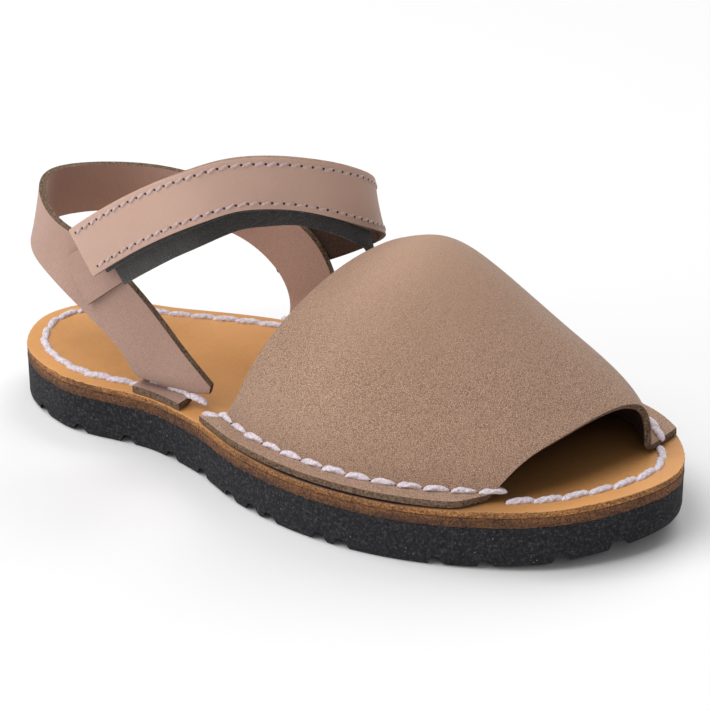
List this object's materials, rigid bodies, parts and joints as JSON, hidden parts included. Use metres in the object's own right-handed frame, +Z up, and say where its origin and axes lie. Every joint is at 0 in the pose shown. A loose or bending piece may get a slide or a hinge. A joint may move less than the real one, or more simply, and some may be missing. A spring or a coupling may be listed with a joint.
{
  "type": "avarca sandal",
  "caption": "Child's open-toe avarca sandal for the right foot: nubuck vamp, heel sling, hook-and-loop ankle strap and stitched rubber sole.",
  "frame": {"origin": "on the floor, under the middle of the sandal's bounding box", "axes": "+X towards the toe, +Z up, -Y towards the lateral (outer) side of the right foot"},
  "size_m": [0.168, 0.0724, 0.0765],
  "materials": {
    "black_rubber": "matte, with light specks",
    "brown_board": "raw cut edge",
    "tan_leather": "smooth, waxed",
    "taupe_nubuck": "matte nubuck",
    "black_tape": "fuzzy hook-and-loop"
  },
  "bodies": {
    "root": {"outsole": "black_rubber", "midsole": "brown_board", "insole": "tan_leather", "vamp": "taupe_nubuck", "heel_strap": "taupe_nubuck", "ankle_strap": "taupe_nubuck", "closure_tab": "taupe_nubuck", "hook_tape": "black_tape", "loop_tape": "black_tape"}
  },
  "joints": []
}
